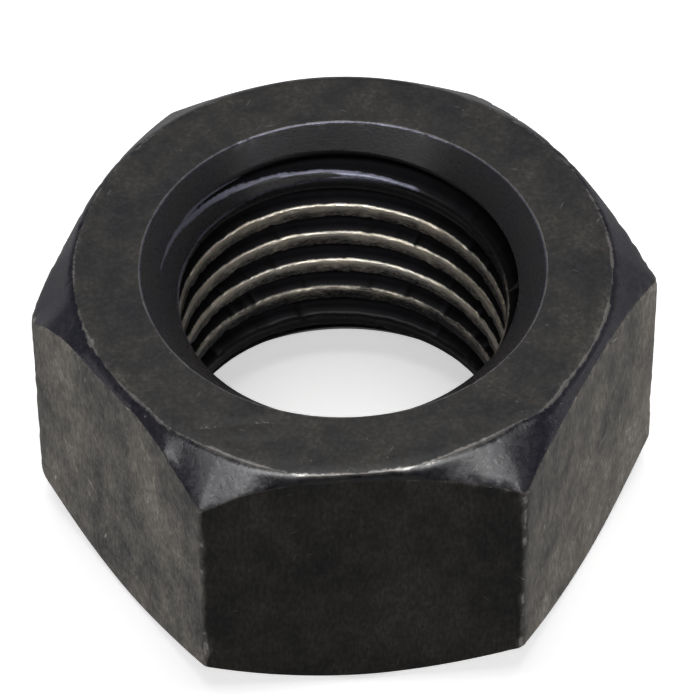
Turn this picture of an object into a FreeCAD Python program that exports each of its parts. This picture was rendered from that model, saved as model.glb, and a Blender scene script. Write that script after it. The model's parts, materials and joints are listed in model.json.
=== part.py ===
import FreeCAD, Part
import math
import os
import Sketcher

# A plain hex nut with a right-hand metric thread, M27 x 3, forged and tapped from one piece.
# Millimetres, +Z up. The origin is on the thread axis, in the lower bearing face,
# and the flats face +Y and -Y.

doc = FreeCAD.newDocument("HexNut")

# Driving sizes: alias, value, what it is.
drivingSizes = [
    ("acrossFlats", 40.5, "between opposite flats, the spanner size"),
    ("nutHeight", 22.9, "between the two bearing faces"),
    ("chamferMargin", 1.1, "how much smaller the bearing faces are across than the flats"),
    ("upperChamferAngle", 40.0, "slope of the upper corner chamfer, in degrees from the face"),
    ("lowerChamferAngle", 32.0, "slope of the lower corner chamfer, in degrees from the face"),
    ("threadDiameter", 27.0, "major diameter, across the roots of the grooves"),
    ("threadPitch", 3.0, "from one turn to the next"),
    ("flankAngle", 60.0, "between the two flanks of a groove, in degrees"),
    ("crestAllowance", 0.45, "how much the bore is over the basic minor diameter"),
    ("grooveRise", 1.95, "height of a groove's middle at +X, above the lower face"),
    ("grooveRunIn", 0.4, "how far the groove's cutting shape reaches inside the bore"),
    ("countersinkMargin", 2.8, "how much wider the countersinks are than the thread"),
    ("countersinkAngle", 80.0, "whole angle of both countersinks, in degrees"),
    ("toolClearance", 1.0, "how far the cutting shapes run past what they cut"),
]
sizes = doc.addObject("Spreadsheet::Sheet", "Sizes")
for row, (alias, size, meaning) in enumerate(drivingSizes, start=1):
    sizes.set(f"A{row}", meaning)
    sizes.set(f"B{row}", str(size))
    sizes.setAlias(f"B{row}", alias)
doc.recompute()

# What follows from the driving sizes, as expressions that the features are bound to.
height = "Sizes.nutHeight"
cornerRadius = "Sizes.acrossFlats / sqrt(3)"
faceRadius = "(Sizes.acrossFlats - Sizes.chamferMargin) / 2"
rootRadius = "Sizes.threadDiameter / 2"
# an ISO metric thread is 5/8 of its sharp triangle deep, and its root is flat for 1/8 of a pitch
basicDepth = "5 / 8 * Sizes.threadPitch / (2 * tan(Sizes.flankAngle / 2))"
halfRoot = "(Sizes.threadPitch / 8) / 2"
boreRadius = f"({rootRadius} - {basicDepth} + Sizes.crestAllowance / 2)"
# the groove starts this far below the lower face and ends as far above the upper one
grooveOverrun = "(2 * Sizes.threadPitch)"
countersinkRadius = "(Sizes.threadDiameter + Sizes.countersinkMargin) / 2"

body = doc.addObject("PartDesign::Body", "HexNutBody")
body.Label = "hex_nut"
doc.recompute()


def number(expression):
    """The value that an expression has with the sizes in the sheet."""
    return float(body.evalExpression(expression))


def newSketch(name, planeRole):
    """An empty sketch on one of the body's own origin planes."""
    sketch = body.newObject("Sketcher::SketchObject", name)
    plane = [item for item in body.Origin.OriginFeatures if item.Role == planeRole][0]
    sketch.AttachmentSupport = [(plane, "")]
    sketch.MapMode = "FlatFace"
    return sketch


def bindPoint(sketch, edge, kind, expression):
    """Hold the start of an edge at a bound distance from the sketch's origin."""
    constraint = Sketcher.Constraint(kind, -1, 1, edge, 1, number(expression))
    index = sketch.addConstraint(constraint)
    sketch.setExpression(f"Constraints[{index}]", expression)


def drawOutline(sketch, corners):
    """Join corners, each a pair of expressions, into a closed outline of straight lines."""
    points = [FreeCAD.Vector(number(across), number(up), 0) for across, up in corners]
    first = sketch.GeometryCount
    count = len(points)
    for step in range(count):
        sketch.addGeometry(Part.LineSegment(points[step], points[(step + 1) % count]), False)
    for step in range(count):
        following = first + (step + 1) % count
        sketch.addConstraint(Sketcher.Constraint("Coincident", first + step, 2, following, 1))
    for step, (across, up) in enumerate(corners):
        bindPoint(sketch, first + step, "DistanceX", across)
        bindPoint(sketch, first + step, "DistanceY", up)


def finishCut(feature):
    """Make a cut the body's last feature and see that it took material away."""
    volumeBefore = body.Shape.Volume
    body.Tip = feature
    doc.recompute()
    if not 0 < feature.Shape.Volume < volumeBefore:
        raise RuntimeError(f"{feature.Name} cut nothing away")


def turnedCut(name, outlines):
    """Turn outlines in the XZ plane once round the thread axis and cut them away."""
    sketch = newSketch(f"{name}Profile", "XZ_Plane")
    for corners in outlines:
        drawOutline(sketch, corners)
    doc.recompute()
    groove = body.newObject("PartDesign::Groove", name)
    groove.Profile = sketch
    groove.ReferenceAxis = (sketch, ["V_Axis"])
    groove.Angle = 360
    finishCut(groove)


def makeBlank():
    """The hexagonal blank, with a flat towards +Y and one towards -Y."""
    halfFlats = "Sizes.acrossFlats / 2"
    halfSide = "Sizes.acrossFlats / (2 * sqrt(3))"
    corners = [
        (cornerRadius, "0"),
        (halfSide, halfFlats),
        (f"-{halfSide}", halfFlats),
        (f"-{cornerRadius}", "0"),
        (f"-{halfSide}", f"-{halfFlats}"),
        (halfSide, f"-{halfFlats}"),
    ]
    sketch = newSketch("Hexagon", "XY_Plane")
    drawOutline(sketch, corners)
    doc.recompute()
    blank = body.newObject("PartDesign::Pad", "Blank")
    blank.Profile = sketch
    blank.setExpression("Length", height)
    body.Tip = blank
    doc.recompute()


def cutChamfers():
    """The cones that take the corners off above and below, outside the bearing faces."""
    outside = f"({cornerRadius} + Sizes.toolClearance)"
    upperDrop = f"({outside} - {faceRadius}) * tan(Sizes.upperChamferAngle)"
    lowerRise = f"({outside} - {faceRadius}) * tan(Sizes.lowerChamferAngle)"
    above = f"{height} + Sizes.toolClearance"
    upper = [(faceRadius, height), (outside, f"{height} - {upperDrop}"), (outside, above), (faceRadius, above)]
    below = "-Sizes.toolClearance"
    lower = [(faceRadius, "0"), (outside, lowerRise), (outside, below), (faceRadius, below)]
    turnedCut("CornerChamfers", [upper, lower])


def cutBore():
    """The bore through the crests of the thread.

    Its circle is six arcs, so that a turn of crest is six short faces and not one long one.
    """
    sketch = newSketch("BoreCircle", "XY_Plane")
    arcCount = 6
    sweep = 2 * math.pi / arcCount
    circle = Part.Circle(FreeCAD.Vector(0, 0, 0), FreeCAD.Vector(0, 0, 1), number(boreRadius))
    for arc in range(arcCount):
        sketch.addGeometry(Part.ArcOfCircle(circle, arc * sweep, (arc + 1) * sweep), False)
        sketch.addConstraint(Sketcher.Constraint("Coincident", arc, 3, -1, 1))
        sketch.addConstraint(Sketcher.Constraint("Angle", arc, sweep))
    for arc in range(arcCount - 1):
        sketch.addConstraint(Sketcher.Constraint("Coincident", arc, 2, arc + 1, 1))
    sketch.addConstraint(Sketcher.Constraint("PointOnObject", 0, 1, -1))
    radius = sketch.addConstraint(Sketcher.Constraint("Radius", 0, number(boreRadius)))
    sketch.setExpression(f"Constraints[{radius}]", boreRadius)
    doc.recompute()
    bore = body.newObject("PartDesign::Pocket", "Bore")
    bore.Profile = sketch
    bore.Type = "ThroughAll"
    bore.Reversed = True
    bore.Refine = False
    finishCut(bore)


def cutCountersinks():
    """The two conical countersinks, where the thread starts and ends."""
    depth = f"{countersinkRadius} / tan(Sizes.countersinkAngle / 2)"
    upper = [("0", f"{height} - {depth}"), (countersinkRadius, height), ("0", height)]
    lower = [("0", "0"), (countersinkRadius, "0"), ("0", depth)]
    turnedCut("Countersinks", [upper, lower])


def cutThread():
    """The helical groove, run in below the lower face and out above the upper one."""
    innerRadius = f"({boreRadius} - Sizes.grooveRunIn)"
    slope = "tan(Sizes.flankAngle / 2)"
    halfMouth = f"({halfRoot} + ({rootRadius} - {innerRadius}) * {slope})"
    middle = f"(Sizes.grooveRise - {grooveOverrun})"
    sketch = newSketch("GrooveProfile", "XZ_Plane")
    drawOutline(sketch, [
        (innerRadius, f"{middle} - {halfMouth}"),
        (rootRadius, f"{middle} - {halfRoot}"),
        (rootRadius, f"{middle} + {halfRoot}"),
        (innerRadius, f"{middle} + {halfMouth}"),
    ])
    doc.recompute()
    thread = body.newObject("PartDesign::SubtractiveHelix", "Thread")
    thread.Profile = sketch
    thread.ReferenceAxis = (sketch, ["V_Axis"])
    thread.Mode = "pitch-height-angle"
    thread.setExpression("Pitch", "Sizes.threadPitch")
    thread.setExpression("Height", f"{height} + 2 * {grooveOverrun}")
    thread.LeftHanded = False
    thread.Refine = False
    finishCut(thread)


def checkDocument():
    """Stop unless every object is up to date and the nut is one sound solid."""
    for item in doc.Objects:
        if "Invalid" in item.State or "Error" in item.State:
            raise RuntimeError(f"{item.Name} failed: {item.State}")
    shape = body.Shape
    if shape.isNull() or not shape.isValid() or len(shape.Solids) != 1:
        raise RuntimeError("the nut is not one sound solid")


makeBlank()
cutChamfers()
cutCountersinks()
cutBore()
cutThread()
checkDocument()

os.makedirs("parts", exist_ok=True)
body.Shape.exportStep(f"parts/{body.Label}.step")
print(f"{body.Label}: {body.Shape.Volume:.1f} mm3, {len(body.Shape.Faces)} faces")
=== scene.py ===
import json
import math
import random

import bmesh
import bpy
from mathutils import Matrix, Vector, noise


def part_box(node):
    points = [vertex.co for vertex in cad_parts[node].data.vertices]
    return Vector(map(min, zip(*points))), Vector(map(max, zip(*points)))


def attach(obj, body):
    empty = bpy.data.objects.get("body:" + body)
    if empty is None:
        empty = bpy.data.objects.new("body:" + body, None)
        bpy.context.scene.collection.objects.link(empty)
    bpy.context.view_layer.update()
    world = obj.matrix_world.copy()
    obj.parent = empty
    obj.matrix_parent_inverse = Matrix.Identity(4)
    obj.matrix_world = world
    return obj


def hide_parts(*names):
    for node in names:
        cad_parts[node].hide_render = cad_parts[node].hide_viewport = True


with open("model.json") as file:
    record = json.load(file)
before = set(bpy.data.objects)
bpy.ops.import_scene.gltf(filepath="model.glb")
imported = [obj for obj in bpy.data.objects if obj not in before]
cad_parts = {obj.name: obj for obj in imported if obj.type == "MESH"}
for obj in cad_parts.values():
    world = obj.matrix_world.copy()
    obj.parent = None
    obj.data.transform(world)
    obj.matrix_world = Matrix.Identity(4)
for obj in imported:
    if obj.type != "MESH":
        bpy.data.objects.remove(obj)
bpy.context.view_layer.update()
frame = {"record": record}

mm = 0.001

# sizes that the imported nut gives, in mm; the origin is the middle of its lower face
lowCorner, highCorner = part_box("hex_nut")
mounts = {mount["name"]: mount for mount in frame["record"]["mounts"]}
height = (highCorner.z - lowCorner.z) / mm
apothem = (highCorner.y - lowCorner.y) / 2 / mm
boreRadius = mounts["thread"]["dims"]["r_mm"]

cameraView = {
    "lens": 268.0,          # mm, on a 36 mm sensor
    "azimuth": -3.90,       # degrees round from the front
    "elevation": 47.39,     # degrees above the floor
    "roll": -0.33,
    "distance": 397.5,      # mm back from the origin
    "right": 0.42,          # mm that the camera then moves to its right
    "up": 9.31,             # and up
}


def addCamera():
    azimuth = math.radians(cameraView["azimuth"])
    elevation = math.radians(cameraView["elevation"])
    back = Vector((
        math.sin(azimuth) * math.cos(elevation),
        -math.cos(azimuth) * math.cos(elevation),
        math.sin(elevation),
    ))
    level = Vector((math.cos(azimuth), math.sin(azimuth), 0))
    turn = Matrix.Rotation(math.radians(cameraView["roll"]), 3, back)
    right = turn @ level
    up = turn @ back.cross(level)
    place = back * cameraView["distance"] + right * cameraView["right"] + up * cameraView["up"]
    data = bpy.data.cameras.new("camera")
    data.sensor_width = 36
    data.lens = cameraView["lens"]
    data.clip_start = 0.01
    data.clip_end = 20
    camera = bpy.data.objects.new("camera", data)
    bpy.context.scene.collection.objects.link(camera)
    facing = Matrix((right, up, back)).transposed().to_4x4()
    camera.matrix_world = Matrix.Translation(place * mm) @ facing
    bpy.context.scene.camera = camera


addCamera()
print("camera placed")

# the nut's mesh: sections through the axis, one column of points each, joined all the way round
nut = {
    "columns": 432,                             # evenly spaced round the nut
    "cornerColumns": (0.14, 0.30, 0.48, 0.66),  # more of them beside each upright corner, degrees
    "faceRadius": 19.7,                         # of a bearing face, mm
    "rimRadius": 14.9,                          # of the countersinks at the bearing faces
    "countersinkAngle": 40.0,                   # from the axis, degrees
    "bareDepth": 1.25,                          # the countersinks have no thread down to here
    "topChamfer": 40.0,                         # slope from the bearing face, degrees
    "bottomChamfer": 32.0,
    "rimRounding": 0.16,
    "faceRounding": 1.5,
    "chamferRounding": 0.28,
    "leastChamfer": 0.04,                       # how wide at least, mm
    "shortSide": 0.94,                          # how much of a side its two roundings may take
    "uprightWear": 0.45,                        # of the upright corners, 0 to 1
    "uprightWidth": 0.24,                       # of the worn band on them, mm
    "flatHollows": 0.035,                       # how far the flats wander inwards, mm
    "flatLumps": 6.0,                           # from one hollow to the next, mm
}
# what forging and tumbling left uneven: (angle round the nut, mm), smooth from one to the next
uneven = {
    # how much lower the flats start under the top chamfer
    "topDrop": [(0, 0.5), (12, 0.30), (30, 0.05), (60, 0.30), (90, 0.10), (120, 0.35), (150, 0.25),
                (170, 0.7), (180, 1.4), (187, 0.5), (192, 0.35), (204, 0.78), (213, 0.6), (221, 0.0),
                (228, -0.2), (234, 0.25), (240, 0.2), (248, -0.15), (256, 0.05), (263, 0.4), (271, 0.53),
                (283, 0.45), (296, 0.25), (304, 0.45), (314, 0.85), (322, 1.0), (334, 0.88), (348, 0.68),
                (360, 0.5)],
    "bottomRise": [(0, 0.2), (35, 0.0), (75, 0.3), (110, 0.05), (160, 0.3), (180, 0.5), (215, 0.1),
                   (255, 0.0), (290, 0.15), (330, 0.1), (360, 0.2)],
    # how much further out than faceRadius the top face reaches
    "faceEdge": [(0, -0.05), (60, 0.0), (180, 0.0), (191, -0.05), (219, -0.05), (228, 0.3), (237, 0.3),
                 (250, 0.55), (261, 0.72), (268, 0.56), (272, 0.48), (276, 0.42), (282, 0.28), (290, 0.08),
                 (298, 0.0), (304, 0.0), (311, 0.3), (314, 0.25), (321, -0.05), (360, -0.05)],
    # how strongly the top face's edge is rubbed; the stronger band round the front, from 245 to 300
    # degrees, is partly a painted highlight
    "faceWear": [(0, 0.82), (40, 0.7), (200, 0.75), (225, 0.85), (245, 1.0), (285, 1.08), (300, 0.95),
                 (330, 0.9), (360, 0.82)],
    # radius of the upright corners
    "cornerRounding": [(0, 0.8), (60, 0.45), (120, 0.55), (180, 2.6), (240, 0.42), (300, 0.5),
                       (360, 0.8)],
}
thread = {
    "pitch": 3.0,
    "crestDepth": 3.70,    # of the first crest's middle under the top face, at the far side
    "crestAngle": 90.0,    # where that is, degrees
    "rootRadius": 13.38,
    "edge": 0.62,          # half the width of a crest, mm
    "edgeWander": 0.09,
    "lip": 0.05,           # burr along the crest's edges, mm
    "lipWander": 0.12,
    "dish": 0.05,          # hollow between the burrs
    "tearSize": 1.5,       # mm from one tear to the next
    "blend": 0.05,         # rounding where thread and countersink meet
    "farFlank": (0.30, 0.66),    # past the crest's edge and deeper than the bore, mm
    "nearFlank": (0.10, 0.21),
    "halfRoot": 0.19,      # half the flat at the bottom of a groove
    "rubbed": 0.16,        # how much rounder the upper edge is than the lower one
    "fineDepth": 3.6,      # down to here there are extra rows, for the countersink's edge
    "rubWidth": 0.12,      # of the line along the first crest's upper edge, rubbed by a bolt and partly a painted highlight
    "biteWidth": 0.30,     # how far the tap tore the edges back and down
    "biteDepth": 0.25,
    "tornFrom": (3.2, 5.5),    # depth under the top face, from clean to torn
    "bareFrom": (3.9, 5.0),    # from black to bare
    "dimFrom": (13.5, 18.5),   # from bare to the dim lowest turns
    "dim": 0.7,
    "joinGap": 0.05,           # least distance from the rows to the outline's ends, mm
    "inThread": (-0.05, 0.12),  # past the countersink's cone, from none of the thread's look to all
    "rubStart": 0.02,          # the rubbed line, partly a painted highlight, is this far past the cone
}
# strips of a section between its corners, from inside the top countersink out, down and back in
strips = [(5, "bore"), (18, "face"), (5, "chamfer"), (26, "flat"), (4, "chamfer"), (9, "face"),
          (3, "bore")]
finishNames = ["face", "chamfer", "flat", "bore"]
# knocks: (x, y, z) of the first end and of the last, mm, half width, depth
knocks = [
    ((-11.2, -15.05, 22.9), (-5.6, -14.8, 22.9), 0.52, 0.135),    # two scrapes side by side on the top
    ((-9.2, -16.5, 22.9), (-6.0, -16.75, 22.9), 0.52, 0.135),
    ((-8.5, -17.2, 22.9), (-6.7, -17.35, 22.9), 0.55, 0.125),
    ((18.75, 0.1, 22.9), (18.75, 0.1, 22.9), 0.55, 0.10),
    ((10.9, -15.0, 22.9), (10.8, -15.9, 22.9), 0.28, 0.07),
    ((-18.6, -6.0, 22.9), (-19.0, -6.3, 22.8), 0.6, 0.13),
    ((11.5, -20.25, 19.0), (11.7, -20.25, 18.6), 0.45, 0.14),
    ((11.6, -20.25, 16.6), (11.7, -20.2, 16.4), 0.45, 0.12),
]
knockLook = {
    "reach": 8,         # mm along x and y beyond which a knock isn't felt
    "bankWidth": 1.7,   # of the bank round it, in half widths
    "bankHeight": 0.16,  # in depths
    "bareFrom": 0.055,  # deeper than this it shows metal, mm
    "bareness": 9,      # more of it for each mm
}


def smoothStep(low, high, value):
    share = min(max((value - low) / (high - low), 0.0), 1.0)
    return share * share * (3 - 2 * share)


def along(stops, angle):
    # value at an angle of a list of (angle, value)
    for (firstAngle, first), (lastAngle, last) in zip(stops, stops[1:]):
        if angle <= lastAngle:
            return first + (last - first) * smoothStep(firstAngle, lastAngle, angle)
    return stops[-1][1]


def wander(point, size, shift=0.0):
    # smooth noise from about -0.6 to 0.6, with lumps of this size in mm
    return noise.noise(Vector(point) / size + Vector((shift, -shift, 2 * shift)))


def columnAngles():
    step = 360 / nut["columns"]
    angles = {round(index * step, 4) for index in range(nut["columns"])}
    for corner in range(0, 360, 60):
        for offset in nut["cornerColumns"]:
            angles.add(round((corner + offset) % 360, 4))
            angles.add(round((corner - offset) % 360, 4))
    return sorted(angles)


def hexagonRadius(angle):
    # from the axis to the flats, with the upright corners rounded
    fromCorner = math.radians((angle + 30) % 60 - 30)
    nearest = round(angle / 60) * 60
    rounding = along(uneven["cornerRounding"], nearest)
    cornerRadius = apothem / math.cos(math.radians(30))
    centre = cornerRadius - rounding / math.sin(math.radians(60))
    touch = rounding / math.tan(math.radians(60))
    touchAngle = math.atan2(touch * math.sin(math.radians(60)), cornerRadius - touch / 2)
    if abs(fromCorner) >= touchAngle:
        return apothem / math.cos(math.radians(30) - abs(fromCorner))
    aside = centre * math.sin(fromCorner)
    return centre * math.cos(fromCorner) + math.sqrt(rounding ** 2 - aside ** 2)


def roundCorner(before, corner, after, cut, steps):
    # points of the arc that rounds a corner of the section, cut mm back along both its sides
    toBefore = (before - corner).normalized()
    toAfter = (after - corner).normalized()
    half = toBefore.angle(toAfter) / 2
    radius = cut * math.tan(half)
    centre = corner + (toBefore + toAfter).normalized() * radius / math.sin(half)
    first = corner + toBefore * cut - centre
    last = corner + toAfter * cut - centre
    return [centre + first.slerp(last, step / steps) * radius for step in range(steps + 1)]


def sectionCorners(angle):
    # corner, rounding, arc steps, width and strength of the wear on it, which on the top face's edge is
    # partly a painted highlight
    radius = hexagonRadius(angle)
    face = nut["faceRadius"]
    rim = nut["rimRadius"]
    topExtra = along(uneven["topDrop"], angle)
    topDrop = (radius - face) * math.tan(math.radians(nut["topChamfer"])) + topExtra
    topFace = min(face + along(uneven["faceEdge"], angle), radius - nut["leastChamfer"])
    bottomExtra = along(uneven["bottomRise"], angle)
    bottomRise = (radius - face) * math.tan(math.radians(nut["bottomChamfer"])) + bottomExtra
    soft = nut["chamferRounding"]
    faceSoft = nut["faceRounding"]
    return [
        (Vector((rim, height)), nut["rimRounding"], 4, 0.12, 1.0),
        # the top face's edge: worn metal all round, and round the front also a painted highlight
        (Vector((topFace, height)), faceSoft, 7, 0.28, along(uneven["faceWear"], angle)),
        (Vector((radius, height - topDrop)), soft + 0.5 * topExtra, 5, 0.15, 0.55),
        (Vector((radius, bottomRise)), soft + 0.5 * bottomExtra, 4, 0.15, 0.55),
        (Vector((face, 0)), faceSoft, 5, 0.30, 0.8),
        (Vector((rim, 0)), nut["rimRounding"], 3, 0.11, 0.9),
    ]


def sectionOutline(angle):
    # (point, finish of the strip after it, wear and painted highlight) for the outside of the nut at this
    # angle
    depth = nut["bareDepth"]
    inner = nut["rimRadius"] - depth * math.tan(math.radians(nut["countersinkAngle"]))
    start = Vector((inner, height - depth))
    end = Vector((inner, depth))
    corners = sectionCorners(angle)
    stops = [start] + [corner[0] for corner in corners] + [end]
    cuts = []
    for index, (corner, rounding, *rest) in enumerate(corners):
        half = (stops[index] - corner).angle(stops[index + 2] - corner) / 2
        cuts.append(rounding / math.tan(half))
    lengths = [(last - first).length for first, last in zip(stops, stops[1:])]
    # where two roundings would meet on a short side, both give way
    share = [1.0] * len(cuts)
    for index in range(len(cuts) - 1):
        room = nut["shortSide"] * lengths[index + 1] / (cuts[index] + cuts[index + 1])
        share[index] = min(share[index], room)
        share[index + 1] = min(share[index + 1], room)
    arcs = [[start]]
    for index, (corner, rounding, steps, *rest) in enumerate(corners):
        cut = cuts[index] * share[index]
        arcs.append(roundCorner(stops[index], corner, stops[index + 2], cut, steps))
    arcs.append([end])
    rows = []
    for index, (count, finish) in enumerate(strips):
        arc = arcs[index]
        before = strips[index - 1][1] if index else finish
        for place, point in enumerate(arc):
            nearer = before if place < len(arc) // 2 else finish
            # where a chamfer meets a flat the rounding is as rough as the flat
            rows.append((point, "flat" if "flat" in (before, finish) else nearer))
        first = arc[-1]
        last = arcs[index + 1][0]
        for step in range(1, count + 1):
            even = step / (count + 1)
            eased = 0.5 - 0.5 * math.cos(math.pi * even)
            rows.append((first.lerp(last, (even + eased) / 2), finish))
    rows.append((end, "bore"))
    wornAndHighlighted = []
    for point, finish in rows:
        wear = 0.0
        for arc, (*rest, width, strength) in zip(arcs[1:], corners):
            away = (point - arc[len(arc) // 2]).length / width
            wear = max(wear, strength * math.exp(-away ** 2))
        wornAndHighlighted.append((point, finish, wear))
    return wornAndHighlighted


def knockDepth(place, dents):
    # how far the knocks push the surface in at a place, less the small bank round each
    depth = 0.0
    reach = knockLook["reach"]
    bank = knockLook["bankWidth"]
    for first, last, width, deep in dents:
        if abs(place.x - first.x) > reach or abs(place.y - first.y) > reach:
            continue
        side = last - first
        share = 0.0
        if side.length > 0.001:
            share = min(max((place - first).dot(side) / side.length_squared, 0.0), 1.0)
        away = (place - first - side * share).length / width
        if away < 1:
            depth += deep * (1 - away * away) ** 2
        elif away < bank:
            depth -= deep * knockLook["bankHeight"] * math.sin((away - 1) / (bank - 1) * math.pi)
    return depth


def makeDents():
    # the named knocks, then small ones scattered over the faces and along the edges
    dents = [(Vector(first), Vector(last), width, deep) for first, last, width, deep in knocks]
    chance = random.Random(27)

    def scatter(count, radius, level, widths, deep):
        for index in range(count):
            angle = chance.uniform(0, 360)
            place = Vector((0, 0, level(angle) if callable(level) else level))
            reach = radius(angle)
            place.x = reach * math.cos(math.radians(angle))
            place.y = reach * math.sin(math.radians(angle))
            width = chance.uniform(*widths)
            lean = Vector([chance.uniform(-1, 1) for axis in range(3)]) * width
            dents.append((place, place + lean, width, chance.uniform(0.4, 1.0) * deep))

    # radii and levels of the places to scatter over, mm
    def onFace(angle):
        return chance.uniform(15.5, 19.0)

    def flatEdge(angle):
        drop = (hexagonRadius(angle) - nut["faceRadius"]) * math.tan(math.radians(nut["topChamfer"]))
        return height - drop - along(uneven["topDrop"], angle)

    def onFlat(angle):
        return chance.uniform(4, 18)

    scatter(34, onFace, height, widths=(0.25, 0.5), deep=0.035)
    scatter(22, onFace, 0.0, widths=(0.25, 0.5), deep=0.04)
    scatter(46, lambda angle: nut["faceRadius"] + 0.1, height - 0.15, widths=(0.25, 0.6), deep=0.07)
    scatter(60, hexagonRadius, flatEdge, widths=(0.25, 0.6), deep=0.10)
    scatter(40, lambda angle: nut["rimRadius"], height, widths=(0.16, 0.34), deep=0.05)
    scatter(40, hexagonRadius, onFlat, widths=(0.4, 0.8), deep=0.03)
    for corner in range(0, 360, 60):
        outward = Vector((math.cos(math.radians(corner)), math.sin(math.radians(corner)), 0))
        for index in range(9):
            first = outward * hexagonRadius(corner) + Vector((0, 0, chance.uniform(2.5, 19.5)))
            last = first + Vector((0, 0, chance.uniform(0, 0.8)))
            dents.append((first, last, chance.uniform(0.3, 0.55), chance.uniform(0.04, 0.14)))
    return dents


def crestHeight(angle, turn):
    rise = thread["pitch"] * (angle - thread["crestAngle"]) / 360
    return height - thread["crestDepth"] + rise - thread["pitch"] * turn


def bareShare(depth):
    # how much of its black a crest has lost to the tap, by its depth under the top face; towards the bottom
    # the turns are made darker again
    dim = thread["dim"] * smoothStep(*thread["dimFrom"], depth)
    return smoothStep(*thread["bareFrom"], depth) * (1 - dim)


def threadTurn(angle, turn):
    # (height from the crest's middle, radius, bareness, groove black and painted shade) from one root up to
    # the next
    size = thread["tearSize"]
    halfPitch = thread["pitch"] / 2
    root = thread["rootRadius"]
    middle = crestHeight(angle, turn)
    turned = math.radians(angle)
    place = Vector((boreRadius * math.cos(turned), boreRadius * math.sin(turned), middle))
    torn = smoothStep(*thread["tornFrom"], height - middle)
    sides = []
    for side in (-1, 1):
        shift = 5.3 * side
        tear = wander(place, size, shift) * (0.25 + 0.75 * torn)
        bite = max(0.0, wander(place, size * 0.5, shift + 3) - 0.25) * torn
        burr = max(0.0, wander(place, size * 0.6, shift + 9)) * torn
        edge = thread["edge"] + thread["edgeWander"] * tear - thread["biteWidth"] * bite
        burred = thread["lip"] * (0.4 + 0.6 * torn) + thread["lipWander"] * burr
        lip = burred - thread["biteDepth"] * bite
        rubbed = thread["rubbed"] if side > 0 else 0.0
        dish = thread["dish"] * (0.7 + 0.6 * tear)
        sides.append([
            (side * (edge + thread["farFlank"][0]), boreRadius + thread["farFlank"][1], 0.0, 1.0),
            (side * (edge + thread["nearFlank"][0]), boreRadius + thread["nearFlank"][1], 0.15, 0.8),
            # the upper side of a crest gets more bareness than the lower: partly torn steel, partly a
            # painted highlight on the side facing up
            (side * (edge - 0.3 * rubbed), boreRadius + 0.05 + 0.1 * rubbed, 0.75 + 0.20 * side, 0.1),
            (side * (edge - 0.09 - 1.2 * rubbed), boreRadius - lip, 0.75 + 0.25 * side, 0.0),
            (side * edge * 0.35, boreRadius + dish, 0.70 + 0.12 * side, 0.0),
        ])
    lower, upper = sides
    rows = [(thread["halfRoot"] - halfPitch, root, 0.0, 1.0)] + lower + list(reversed(upper))
    rows.append((halfPitch - thread["halfRoot"], root, 0.0, 1.0))
    return middle, rows


def softMax(first, second, width):
    overlap = max(width - abs(first - second), 0.0) / width
    return max(first, second) + overlap * overlap * width / 4


def threadRows(angle):
    # (key, point, wear and painted highlight, bareness, groove black and painted shade) of the thread's
    # rows at this angle, from the bottom up, and how many keys there are to a turn
    low = nut["bareDepth"] + thread["joinGap"]
    high = height - low
    slope = math.tan(math.radians(nut["countersinkAngle"]))
    rows = []
    for turn in range(int(height / thread["pitch"]) + 2, -3, -1):
        middle, shape = threadTurn(angle, turn)
        nextMiddle, nextShape = threadTurn(angle, turn - 1)
        heights = [(middle + offset, *rest) for offset, *rest in shape]
        heights.append((nextMiddle + nextShape[0][0], *nextShape[0][1:]))
        for phase in range(len(shape)):
            lower = heights[phase]
            upper = heights[phase + 1]
            between = tuple((first + last) / 2 for first, last in zip(lower, upper))
            for part, (z, radius, bare, groove) in enumerate((lower, between)):
                depth = min(z, height - z)
                if not low < z < high or (part and depth > thread["fineDepth"]):
                    continue
                cone = nut["rimRadius"] - depth * slope
                inThread = smoothStep(*thread["inThread"], radius - cone)
                # the first crest's upper edge gets a line of wear that is partly a painted highlight
                past = (radius - cone - thread["rubStart"]) / thread["rubWidth"]
                wear = math.exp(-past ** 2) if turn == 0 else 0.0
                key = 2 * (phase - turn * len(shape)) + part
                point = Vector((softMax(radius, cone, thread["blend"]), z))
                bareness = bare * bareShare(height - middle) * inThread
                rows.append((key, point, wear, bareness, groove * inThread))
    return rows, 2 * len(shape)


def buildColumns():
    dents = makeDents()
    columns = []
    for angle in columnAngles():
        outward = Vector((math.cos(math.radians(angle)), math.sin(math.radians(angle)), 0))
        fromCorner = abs((angle + 30) % 60 - 30)
        aside = math.radians(fromCorner) * apothem / nut["uprightWidth"]
        upright = nut["uprightWear"] * math.exp(-aside ** 2)
        column = []
        outline = sectionOutline(angle)
        for index, (point, finish, wear) in enumerate(outline):
            before = outline[max(index - 1, 0)][0]
            after = outline[min(index + 1, len(outline) - 1)][0]
            run = (after - before).normalized()
            normal = outward * -run.y + Vector((0, 0, run.x))
            place = outward * point.x + Vector((0, 0, point.y))
            push = knockDepth(place, dents)
            if finish == "flat":
                wear = max(wear, upright)
                push += nut["flatHollows"] * (wander(place, nut["flatLumps"]) + 0.6)
            # the outline's ends stay put, because the thread's rows join them
            if index not in (0, len(outline) - 1):
                place -= normal * max(push, 0.0)
            wear = min(1.0, wear + knockLook["bareness"] * max(push - knockLook["bareFrom"], 0.0))
            column.append((("outside", index), place, finish, wear, 0.0, 0.0))
        rows, shift = threadRows(angle)
        for key, point, wear, bare, groove in rows:
            place = outward * point.x + Vector((0, 0, point.y))
            column.append((("thread", key), place, "bore", wear, bare, groove))
        columns.append(column)
    return columns, shift


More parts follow.
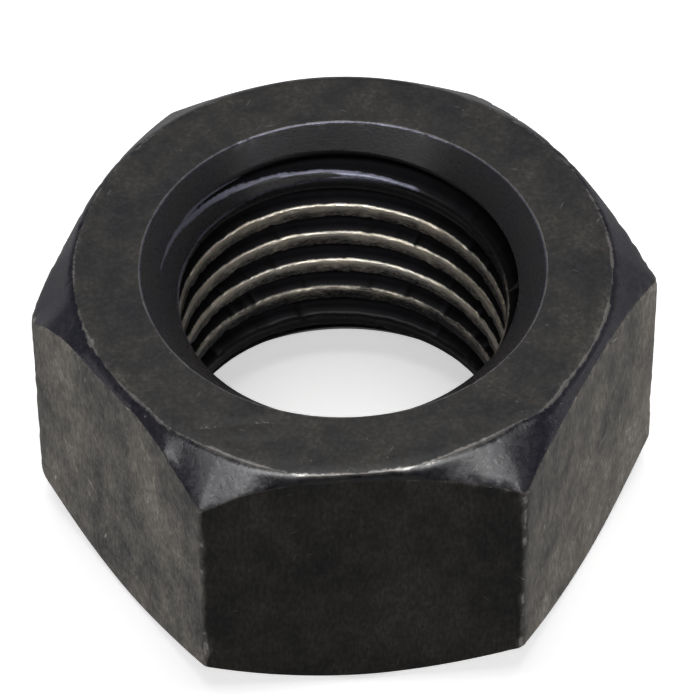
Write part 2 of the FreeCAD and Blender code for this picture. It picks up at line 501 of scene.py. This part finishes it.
def stitch(left, right, leftStart, rightStart, shift):
    # faces between two columns and their finishes; shift is added to the right one's thread keys
    leftKeys = [row[0] for row in left] + ["end"]
    rightKeys = []
    for (part, number), *rest in right:
        rightKeys.append((part, number + shift if part == "thread" else number))
    rightKeys.append("end")
    known = set(rightKeys)
    faces = []
    finishes = []
    onLeft = 0
    onRight = 0
    while onLeft < len(left) or onRight < len(right):
        leftNow = leftStart + onLeft % len(left)
        rightNow = rightStart + onRight % len(right)
        leftNext = leftStart + (onLeft + 1) % len(left)
        rightNext = rightStart + (onRight + 1) % len(right)
        finishes.append(left[onLeft % len(left)][2])
        leftKey = leftKeys[onLeft + 1] if onLeft < len(left) else None
        rightKey = rightKeys[onRight + 1] if onRight < len(right) else None
        if leftKey == rightKey:
            faces.append((leftNow, leftNext, rightNext, rightNow))
            onLeft += 1
            onRight += 1
        elif leftKey is not None and leftKey not in known:
            faces.append((leftNow, leftNext, rightNow))
            onLeft += 1
        else:
            faces.append((leftNow, rightNext, rightNow))
            onRight += 1
    return faces, finishes


def buildNut():
    columns, shift = buildColumns()
    starts = [0]
    for column in columns:
        starts.append(starts[-1] + len(column))
    faces = []
    finishes = []
    for index, left in enumerate(columns):
        after = (index + 1) % len(columns)
        wrap = shift if after == 0 else 0
        newFaces, newFinishes = stitch(left, columns[after], starts[index], starts[after], wrap)
        faces += newFaces
        finishes += newFinishes
    rows = [row for column in columns for row in column]
    mesh = bpy.data.meshes.new("hexNutBody")
    mesh.from_pydata([row[1] * mm for row in rows], [], faces)
    slots = [finishNames.index(finish) for finish in finishes]
    mesh.polygons.foreach_set("material_index", slots)
    mesh.polygons.foreach_set("use_smooth", [True] * len(faces))
    for column, name in enumerate(("wear", "bare", "groove"), start=3):
        layer = mesh.attributes.new(name, "FLOAT", "POINT")
        layer.data.foreach_set("value", [row[column] for row in rows])
    edit = bmesh.new()
    edit.from_mesh(mesh)
    bmesh.ops.recalc_face_normals(edit, faces=edit.faces)
    openEdges = sum(1 for edge in edit.edges if not edge.is_manifold)
    volume = edit.calc_volume() / mm ** 3
    edit.to_mesh(mesh)
    edit.free()
    triangles = sum(len(face) - 2 for face in faces)
    print(f"nut: {triangles} triangles, {openEdges} open edges, {volume:.0f} mm3")
    body = bpy.data.objects.new("hexNutBody", mesh)
    bpy.context.scene.collection.objects.link(body)
    return body


nutBody = buildNut()
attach(nutBody, "root")
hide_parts("hex_nut")

# finishes: black oxide, worn through in places, and bare steel where the tap tore the crests, with painted
# shade in the grooves and painted highlights on some edges and crests


def add(tree, kind, inputs=None, **settings):
    # a node with its settings and its inputs, each either a value or a socket to link from
    node = tree.nodes.new(kind)
    for name, value in settings.items():
        setattr(node, name, value)
    for key, value in (inputs or {}).items():
        if isinstance(value, bpy.types.NodeSocket):
            tree.links.new(value, node.inputs[key])
        else:
            node.inputs[key].default_value = value
    return node


def calculate(tree, operation, first, second, clamp=False):
    inputs = {0: first, 1: second}
    return add(tree, "ShaderNodeMath", inputs, operation=operation, use_clamp=clamp).outputs[0]


def spread(tree, value, low, high, newLow=0.0, newHigh=1.0, smooth=False):
    # the part of a value between low and high, stretched to the new range
    kind = "SMOOTHSTEP" if smooth else "LINEAR"
    inputs = {"Value": value, 1: low, 2: high, 3: newLow, 4: newHigh}
    return add(tree, "ShaderNodeMapRange", inputs, interpolation_type=kind).outputs["Result"]


def blend(tree, share, first, second):
    node = add(tree, "ShaderNodeMix", {0: share}, data_type="RGBA")
    for index, colour in ((6, first), (7, second)):
        if isinstance(colour, bpy.types.NodeSocket):
            tree.links.new(colour, node.inputs[index])
        else:
            node.inputs[index].default_value = (*colour, 1)
    return node.outputs[2]


def newGroup(name, inputs, outputs):
    tree = bpy.data.node_groups.new(name, "ShaderNodeTree")
    kinds = {"Place": "NodeSocketVector"}
    for label, value in inputs.items():
        kind = kinds.get(label, "NodeSocketFloat")
        socket = tree.interface.new_socket(label, in_out="INPUT", socket_type=kind)
        if label not in kinds:
            socket.default_value = value
    for label in outputs:
        tree.interface.new_socket(label, in_out="OUTPUT", socket_type="NodeSocketFloat")
    given = tree.nodes.new("NodeGroupInput").outputs
    result = tree.nodes.new("NodeGroupOutput").inputs
    return tree, given, result


def buildMottle():
    # clouds or grain of one size, from 0 to 1, drawn out along the nut's axis by Stretch
    inputs = {"Place": None, "Size": 2.0, "Stretch": 1.0, "Contrast": 1.0}
    tree, given, result = newGroup("mottle", inputs, ["Cloud"])
    squeeze = calculate(tree, "DIVIDE", 1.0, given["Stretch"])
    squash = add(tree, "ShaderNodeCombineXYZ", {"X": 1.0, "Y": 1.0, "Z": squeeze}).outputs[0]
    flattened = add(tree, "ShaderNodeVectorMath", {0: given["Place"], 1: squash}, operation="MULTIPLY")
    noiseInputs = {
        "Vector": flattened.outputs[0],
        "Scale": calculate(tree, "DIVIDE", 1.0, given["Size"]),
        "Detail": 4.0,
        "Roughness": 0.6,
    }
    lumps = add(tree, "ShaderNodeTexNoise", noiseInputs).outputs["Fac"]
    # most of the noise lies this near to its middle
    half = calculate(tree, "DIVIDE", 0.2273, given["Contrast"])
    low = calculate(tree, "SUBTRACT", 0.5, half)
    high = calculate(tree, "ADD", 0.5, half)
    tree.links.new(spread(tree, lumps, low, high), result["Cloud"])
    return tree


def buildScratches():
    # short straight scratches in one direction of a plane, which Tilt turns up from level
    inputs = {"Place": None, "Turn": 0.0, "Tilt": 0.0, "Length": 8.0, "Width": 0.06, "Spacing": 1.2,
              "Share": 0.5}
    tree, given, result = newGroup("scratches", inputs, ["Mask"])
    angles = add(tree, "ShaderNodeCombineXYZ", {"X": given["Tilt"], "Z": given["Turn"]}).outputs[0]
    turned = add(tree, "ShaderNodeVectorRotate", {"Vector": given["Place"], "Rotation": angles},
                 rotation_type="EULER_XYZ").outputs[0]
    shrink = calculate(tree, "DIVIDE", given["Spacing"], given["Length"])
    squash = add(tree, "ShaderNodeCombineXYZ", {"X": shrink, "Y": 1.0}).outputs[0]
    drawn = add(tree, "ShaderNodeVectorMath", {0: turned, 1: squash}, operation="MULTIPLY").outputs[0]
    scale = calculate(tree, "DIVIDE", 1.0, given["Spacing"])
    cells = add(tree, "ShaderNodeTexVoronoi", {"Vector": drawn, "Scale": scale, "Randomness": 1.0},
                voronoi_dimensions="2D")
    # the distance comes in cells, so it goes back to mm
    away = calculate(tree, "MULTIPLY", cells.outputs["Distance"], given["Spacing"])
    line = calculate(tree, "SUBTRACT", 1.0, calculate(tree, "DIVIDE", away, given["Width"]), clamp=True)
    pick = add(tree, "ShaderNodeSeparateColor", {"Color": cells.outputs["Color"]}).outputs["Red"]
    below = calculate(tree, "SUBTRACT", given["Share"], pick)
    strength = calculate(tree, "DIVIDE", below, given["Share"], clamp=True)
    tree.links.new(calculate(tree, "MULTIPLY", line, strength), result["Mask"])
    return tree


def buildSpecks():
    # small round spots; Share of the cells have one
    inputs = {"Place": None, "Spacing": 1.0, "Size": 0.1, "Share": 0.3}
    tree, given, result = newGroup("specks", inputs, ["Mask"])
    cellInputs = {
        "Vector": given["Place"],
        "Scale": calculate(tree, "DIVIDE", 1.0, given["Spacing"]),
        "Randomness": 1.0,
    }
    cells = add(tree, "ShaderNodeTexVoronoi", cellInputs)
    away = calculate(tree, "MULTIPLY", cells.outputs["Distance"], given["Spacing"])
    spot = spread(tree, away, given["Size"], calculate(tree, "MULTIPLY", given["Size"], 0.4))
    pick = add(tree, "ShaderNodeSeparateColor", {"Color": cells.outputs["Color"]}).outputs["Green"]
    chosen = calculate(tree, "LESS_THAN", pick, given["Share"])
    tree.links.new(calculate(tree, "MULTIPLY", spot, chosen), result["Mask"])
    return tree


def buildEdgeWearAndHighlight():
    # where an edge has rubbed bare, and where the mesh's wear also carries a painted highlight: a broken
    # line that follows that wear, 0 to 1
    inputs = {"Place": None, "Wear": 0.0, "Level": 0.5, "Ragged": 0.8}
    tree, given, result = newGroup("wornEdge", inputs, ["Mask"])
    coarseInputs = {"Vector": given["Place"], "Scale": 0.55, "Detail": 2.0}
    fineInputs = {"Vector": given["Place"], "Scale": 3.2, "Detail": 3.0, "Roughness": 0.7}
    coarse = add(tree, "ShaderNodeTexNoise", coarseInputs)
    fine = add(tree, "ShaderNodeTexNoise", fineInputs)
    both = calculate(tree, "ADD", coarse.outputs["Fac"], fine.outputs["Fac"])
    rough = calculate(tree, "MULTIPLY", calculate(tree, "SUBTRACT", both, 1.0), given["Ragged"])
    total = calculate(tree, "ADD", given["Wear"], rough)
    high = calculate(tree, "ADD", given["Level"], 0.35)
    wornAndHighlighted = spread(tree, total, given["Level"], high, smooth=True)
    # nothing off the edge, however the noise falls
    near = spread(tree, given["Wear"], 0.04, 0.3)
    tree.links.new(calculate(tree, "MULTIPLY", wornAndHighlighted, near), result["Mask"])
    return tree


effects = {
    "mottle": buildMottle(),
    "scratches": buildScratches(),
    "specks": buildSpecks(),
    "wornEdge": buildEdgeWearAndHighlight(),
}
print("effects:", ", ".join(effects))


def useEffect(tree, name, place, **inputs):
    node = add(tree, "ShaderNodeGroup", node_tree=effects[name])
    tree.links.new(place, node.inputs["Place"])
    for label, value in inputs.items():
        if isinstance(value, bpy.types.NodeSocket):
            tree.links.new(value, node.inputs[label])
        else:
            node.inputs[label].default_value = value
    return node.outputs[0]


def newFinish(name):
    # a material, its tree and shader, and the place on the nut in mm
    material = bpy.data.materials.new(name)
    material.use_nodes = True
    tree = material.node_tree
    coordinates = add(tree, "ShaderNodeTexCoord").outputs["Object"]
    toMm = (1 / mm, 1 / mm, 1 / mm)
    place = add(tree, "ShaderNodeVectorMath", {0: coordinates, 1: toMm}, operation="MULTIPLY")
    return material, tree, tree.nodes["Principled BSDF"], place.outputs[0]


def meshValue(tree, name):
    return add(tree, "ShaderNodeAttribute", attribute_name=name).outputs["Fac"]


blackFinishes = {
    "face": {
        "cool": (0.017, 0.018, 0.022), "warm": (0.050, 0.046, 0.040), "pale": (0.150, 0.146, 0.138),
        "cloud": 4.5, "stretch": 1.0, "grainSize": 0.34, "grainStretch": 1.0, "grain": 0.26,
        "rough": (0.42, 0.60), "scratchTurn": (0.5, 2.1, -0.3), "scratchTilt": 0.0, "scratch": 0.6,
        "specks": 0.8, "edgeLevel": 0.62, "bump": 0.014, "shine": 0.25,
    },
    "chamfer": {
        "cool": (0.009, 0.009, 0.014), "warm": (0.014, 0.013, 0.016), "pale": (0.062, 0.060, 0.065),
        "cloud": 4.0, "stretch": 1.0, "grainSize": 0.4, "grainStretch": 1.0, "grain": 0.16,
        "rough": (0.24, 0.34), "scratchTurn": (1.2, 2.4, 0.2), "scratchTilt": 0.0, "scratch": 0.65,
        "specks": 0.6, "edgeLevel": 0.62, "bump": 0.007, "shine": 0.50,
    },
    "flat": {
        "cool": (0.028, 0.028, 0.028), "warm": (0.094, 0.086, 0.076), "pale": (0.20, 0.19, 0.175),
        "cloud": 7.0, "stretch": 1.5, "grainSize": 0.26, "grainStretch": 2.4, "grain": 0.32,
        "rough": (0.55, 0.72), "scratchTurn": (0.3, 1.4, 2.3), "scratchTilt": 1.571, "scratch": 0.4,
        "specks": 0.5, "edgeLevel": 0.70, "bump": 0.022, "shine": 0.1,
    },
}
# bare steel on worn edges and specks; round the front of the top face's edge it also makes a painted
# highlight
wornSteelAndHighlight = (0.185, 0.177, 0.168)
pitBlack = (0.008, 0.008, 0.008)
oxide = {
    "broadShare": 0.65,     # of the broad clouds in the tone; the smaller ones have the rest
    "darkest": 0.45,        # of the cool colour, in the grain's low spots
    "spots": 0.7,           # how strongly the specks and pits show
    "smoothEdge": 0.12,     # how much smoother a worn edge is
    "metal": 0.55,          # how metallic the bare places are
    "grainRelief": 0.6,
    "cloudRelief": 0.8,
}


def blackFinish(name):
    finish = blackFinishes[name]
    material, tree, shader, place = newFinish(name + "Black")
    stretch = finish["stretch"]
    broad = useEffect(tree, "mottle", place, Size=finish["cloud"], Stretch=stretch, Contrast=2.0)
    middle = useEffect(tree, "mottle", place, Size=1.4, Stretch=stretch, Contrast=1.7)
    grain = useEffect(tree, "mottle", place, Size=finish["grainSize"],
                      Stretch=finish["grainStretch"], Contrast=1.7)
    broadTone = calculate(tree, "MULTIPLY", broad, oxide["broadShare"])
    middleTone = calculate(tree, "MULTIPLY", middle, 1 - oxide["broadShare"])
    tone = calculate(tree, "ADD", broadTone, middleTone)
    colour = blend(tree, tone, finish["cool"], finish["warm"])
    # the oxide is thinner in the grain's high spots, and more so in broad patches
    high = spread(tree, grain, 0.5, 1.0, 0.0, finish["grain"])
    patches = spread(tree, calculate(tree, "MULTIPLY", broad, middle), 0.25, 0.9, 0.35, 1.0)
    colour = blend(tree, calculate(tree, "MULTIPLY", high, patches), colour, finish["pale"])
    low = spread(tree, grain, 0.5, 0.05, 0.0, finish["grain"])
    colour = blend(tree, low, colour, [part * oxide["darkest"] for part in finish["cool"]])
    marks = None
    for index, turn in enumerate(finish["scratchTurn"]):
        lines = useEffect(tree, "scratches", place, Turn=turn, Tilt=finish["scratchTilt"],
                          Length=7.0 + 6 * index, Width=0.07, Spacing=1.5 + 0.4 * index,
                          Share=finish["scratch"])
        marks = lines if marks is None else calculate(tree, "MAXIMUM", marks, lines)
    spots = useEffect(tree, "specks", place, Spacing=0.9, Size=0.10, Share=0.22 * finish["specks"])
    pits = useEffect(tree, "specks", place, Spacing=0.7, Size=0.11, Share=0.14 * finish["specks"])
    colour = blend(tree, calculate(tree, "MULTIPLY", pits, oxide["spots"]), colour, pitBlack)
    colour = blend(tree, marks, colour, finish["pale"])
    colour = blend(tree, calculate(tree, "MULTIPLY", spots, oxide["spots"]), colour, wornSteelAndHighlight)
    # worn edges show bare steel, which round the front of the top face's edge is also a painted highlight
    edge = useEffect(tree, "wornEdge", place, Wear=meshValue(tree, "wear"),
                     Level=finish["edgeLevel"], Ragged=0.85)
    colour = blend(tree, edge, colour, wornSteelAndHighlight)
    tree.links.new(colour, shader.inputs["Base Color"])
    rough = spread(tree, calculate(tree, "ADD", tone, grain), 0.3, 1.7, *finish["rough"])
    smoother = calculate(tree, "MULTIPLY", edge, oxide["smoothEdge"])
    tree.links.new(calculate(tree, "SUBTRACT", rough, smoother), shader.inputs["Roughness"])
    metal = calculate(tree, "MULTIPLY", calculate(tree, "MAXIMUM", edge, spots), oxide["metal"])
    tree.links.new(metal, shader.inputs["Metallic"])
    grainRelief = calculate(tree, "MULTIPLY", grain, oxide["grainRelief"])
    cloudRelief = calculate(tree, "MULTIPLY", middle, oxide["cloudRelief"])
    relief = calculate(tree, "ADD", grainRelief, cloudRelief)
    relief = calculate(tree, "SUBTRACT", relief, calculate(tree, "ADD", marks, pits))
    bump = add(tree, "ShaderNodeBump", {"Height": relief, "Strength": 1.0, "Distance": finish["bump"] * mm})
    tree.links.new(bump.outputs["Normal"], shader.inputs["Normal"])
    shader.inputs["Specular IOR Level"].default_value = finish["shine"]
    return material


boreFinish = {
    "oxide": (0.013, 0.013, 0.018),
    "oxideWarm": (0.019, 0.018, 0.017),
    "oxideGrain": (0.038, 0.036, 0.035),
    # near-black for the grooves: black oxide darkened further as painted shade
    "groove": (0.003, 0.003, 0.0035),
    "steel": (0.97, 0.93, 0.85),
    "gold": (0.86, 0.75, 0.58),
    "smeared": (0.30, 0.275, 0.24),
    "line": (0.11, 0.11, 0.145),    # where the first crest rubs, partly a painted bluish highlight along its upper edge
    "grainShare": 0.30,         # how far the grain shows in the oxide
    "grooveShare": 0.96,        # how far the grooves' near-black, oxide and painted shade, covers it
    "ragged": (0.35, 0.30),     # how far clouds and grain shift the limits of the bare steel
    "bareFrom": (0.68, 1.20),   # from all oxide to all steel
    "cleanFrom": (0.05, 0.35),  # keeps stray steel out of the oxide
    "upperEdge": (0.74, 0.95),  # bareness at which a crest's upper edge, burnished and painted as a highlight, starts
    "dull": (0.35, 1.0),        # least and most
    "edgeDull": 0.4,            # of that on the upper edge, burnished and painted as a highlight
    "metalLine": 0.55,
    "rough": (0.24, 0.34),
    "dullRough": 0.14,          # rougher by this where the steel is dull
    "grooveRough": 0.3,
    "oxideRelief": 0.15,        # of the steel's grain
    "bump": 0.03,               # mm
    "shine": 0.13,
}


def boreMaterial():
    material, tree, shader, place = newFinish("boreSteel")
    broad = useEffect(tree, "mottle", place, Size=3.0, Stretch=0.6, Contrast=0.9)
    grain = useEffect(tree, "mottle", place, Size=0.35, Stretch=0.35, Contrast=1.0)
    colour = blend(tree, broad, boreFinish["oxide"], boreFinish["oxideWarm"])
    grainShare = calculate(tree, "MULTIPLY", grain, boreFinish["grainShare"])
    colour = blend(tree, grainShare, colour, boreFinish["oxideGrain"])
    groove = meshValue(tree, "groove")
    grooveShare = calculate(tree, "MULTIPLY", groove, boreFinish["grooveShare"])
    colour = blend(tree, grooveShare, colour, boreFinish["groove"])
    bareness = meshValue(tree, "bare")
    bare = calculate(tree, "ADD", bareness, calculate(tree, "MULTIPLY", broad, boreFinish["ragged"][0]))
    bare = calculate(tree, "ADD", bare, calculate(tree, "MULTIPLY", grain, boreFinish["ragged"][1]))
    torn = spread(tree, bare, *boreFinish["bareFrom"], smooth=True)
    torn = calculate(tree, "MULTIPLY", torn, spread(tree, bareness, *boreFinish["cleanFrom"]))
    steel = blend(tree, broad, boreFinish["steel"], boreFinish["gold"])
    # the tap left the crests dull and dark in places, but burnished along their upper edge, which is also
    # kept brighter as a painted highlight where it faces the light from above
    dull = useEffect(tree, "mottle", place, Size=1.3, Stretch=0.7, Contrast=1.6)
    dull = spread(tree, dull, 0.0, 1.0, *boreFinish["dull"])
    burnishAndHighlight = spread(tree, bareness, *boreFinish["upperEdge"])
    dull = calculate(tree, "MULTIPLY", dull, spread(tree, burnishAndHighlight, 0.0, 1.0, 1.0, boreFinish["edgeDull"]))
    steel = blend(tree, dull, steel, boreFinish["smeared"])
    colour = blend(tree, torn, colour, steel)
    # the rubbed line along the first crest, lighter and metallic: partly wear, partly a painted highlight
    edge = useEffect(tree, "wornEdge", place, Wear=meshValue(tree, "wear"), Level=0.42, Ragged=0.6)
    colour = blend(tree, edge, colour, boreFinish["line"])
    tree.links.new(colour, shader.inputs["Base Color"])
    # the grooves hold soot-black oxide, darkened further as painted shade; as a metal it gives back as
    # little light as its colour, so no sheen shows there
    metal = calculate(tree, "MAXIMUM", torn, groove)
    metal = calculate(tree, "MAXIMUM", metal, calculate(tree, "MULTIPLY", edge, boreFinish["metalLine"]))
    tree.links.new(metal, shader.inputs["Metallic"])
    dullTorn = calculate(tree, "MULTIPLY", torn, dull)
    rough = spread(tree, grain, 0.0, 1.0, *boreFinish["rough"])
    rough = calculate(tree, "ADD", rough, calculate(tree, "MULTIPLY", dullTorn, boreFinish["dullRough"]))
    rough = calculate(tree, "ADD", rough, calculate(tree, "MULTIPLY", groove, boreFinish["grooveRough"]))
    tree.links.new(rough, shader.inputs["Roughness"])
    share = calculate(tree, "ADD", torn, boreFinish["oxideRelief"])
    relief = calculate(tree, "MULTIPLY", grain, share)
    distance = boreFinish["bump"] * mm
    bump = add(tree, "ShaderNodeBump", {"Height": relief, "Strength": 1.0, "Distance": distance})
    tree.links.new(bump.outputs["Normal"], shader.inputs["Normal"])
    shader.inputs["Specular IOR Level"].default_value = boreFinish["shine"]
    return material


for finishName in finishNames:
    nutBody.data.materials.append(boreMaterial() if finishName == "bore" else blackFinish(finishName))
print("finishes:", ", ".join(finishNames))

# plain pale floor and soft studio light
floorLook = {
    "half": 3.0,            # m
    "gap": 0.02 * mm,       # under the nut
    "seen": 0.95,           # how white it looks
    "glow": 0.55,           # light of its own that only the camera sees
    "mirrored": 0.15,       # how bright it is in the shiny crests
    "bounce": 0.25,         # how white it is to the light that it sends back up to the nut
}


def addFloor():
    half = floorLook["half"]
    corners = [(-half, -half, 0), (half, -half, 0), (half, half, 0), (-half, half, 0)]
    mesh = bpy.data.meshes.new("floor")
    mesh.from_pydata(corners, [], [(0, 1, 2, 3)])
    floor = bpy.data.objects.new("floor", mesh)
    floor.location.z = -floorLook["gap"]
    bpy.context.scene.collection.objects.link(floor)
    material = bpy.data.materials.new("floorPaper")
    material.use_nodes = True
    tree = material.node_tree
    shader = tree.nodes["Principled BSDF"]
    shader.inputs["Roughness"].default_value = 0.95
    shader.inputs["Specular IOR Level"].default_value = 0.0
    rays = add(tree, "ShaderNodeLightPath").outputs
    white = spread(tree, rays["Is Camera Ray"], 0.0, 1.0, floorLook["bounce"], floorLook["seen"])
    tree.links.new(white, shader.inputs["Base Color"])
    direct = calculate(tree, "MULTIPLY", rays["Is Camera Ray"], floorLook["glow"])
    mirrored = calculate(tree, "MULTIPLY", rays["Is Glossy Ray"], floorLook["mirrored"])
    shader.inputs["Emission Color"].default_value = (1, 1, 1, 1)
    tree.links.new(calculate(tree, "ADD", direct, mirrored), shader.inputs["Emission Strength"])
    mesh.materials.append(material)


addFloor()

# name, middle and size in metres, watts, whether it lights dull surfaces, whether it shows in shiny ones
lamps = [
    ("overhead", (0.0, 0.06, 0.45), (0.30, 0.30), 0.88, True, True),
    ("left", (-0.45, 0.0, 0.014), (0.026, 0.16), 5.0, True, False),
    ("right", (0.45, 0.0, 0.014), (0.026, 0.16), 5.2, True, False),
    ("front", (0.0, -0.30, 0.36), (0.30, 0.12), 0.22, True, True),
    ("glint", (0.0, -0.27, 0.36), (0.80, 0.12), 3.0, False, True),
    ("back", (0.0, 0.40, 0.30), (0.30, 0.15), 0.15, True, True),
]
lampTarget = Vector((0, 0, 0.01))    # m
roomLight = 0.03


def addLamps():
    for name, place, size, power, spreads, mirrored in lamps:
        data = bpy.data.lights.new(name, "AREA")
        data.shape = "RECTANGLE"
        data.size, data.size_y = size
        data.energy = power
        lamp = bpy.data.objects.new(name, data)
        lamp.location = place
        lamp.visible_camera = False
        lamp.visible_diffuse = spreads
        lamp.visible_glossy = mirrored
        lamp.rotation_mode = "QUATERNION"
        lamp.rotation_quaternion = (Vector(place) - lampTarget).to_track_quat("Z", "Y")
        bpy.context.scene.collection.objects.link(lamp)


addLamps()


def addSurroundings():
    # dim light from all round, but white to look at behind the floor's far edge
    world = bpy.data.worlds.new("studio")
    bpy.context.scene.world = world
    world.use_nodes = True
    tree = world.node_tree
    seen = add(tree, "ShaderNodeLightPath").outputs["Is Camera Ray"]
    strength = spread(tree, seen, 0.0, 1.0, roomLight, 1.0)
    tree.links.new(strength, tree.nodes["Background"].inputs["Strength"])
    tree.nodes["Background"].inputs["Color"].default_value = (1, 1, 1, 1)


addSurroundings()
bpy.context.scene.view_settings.view_transform = "Standard"
print("floor and lights placed")
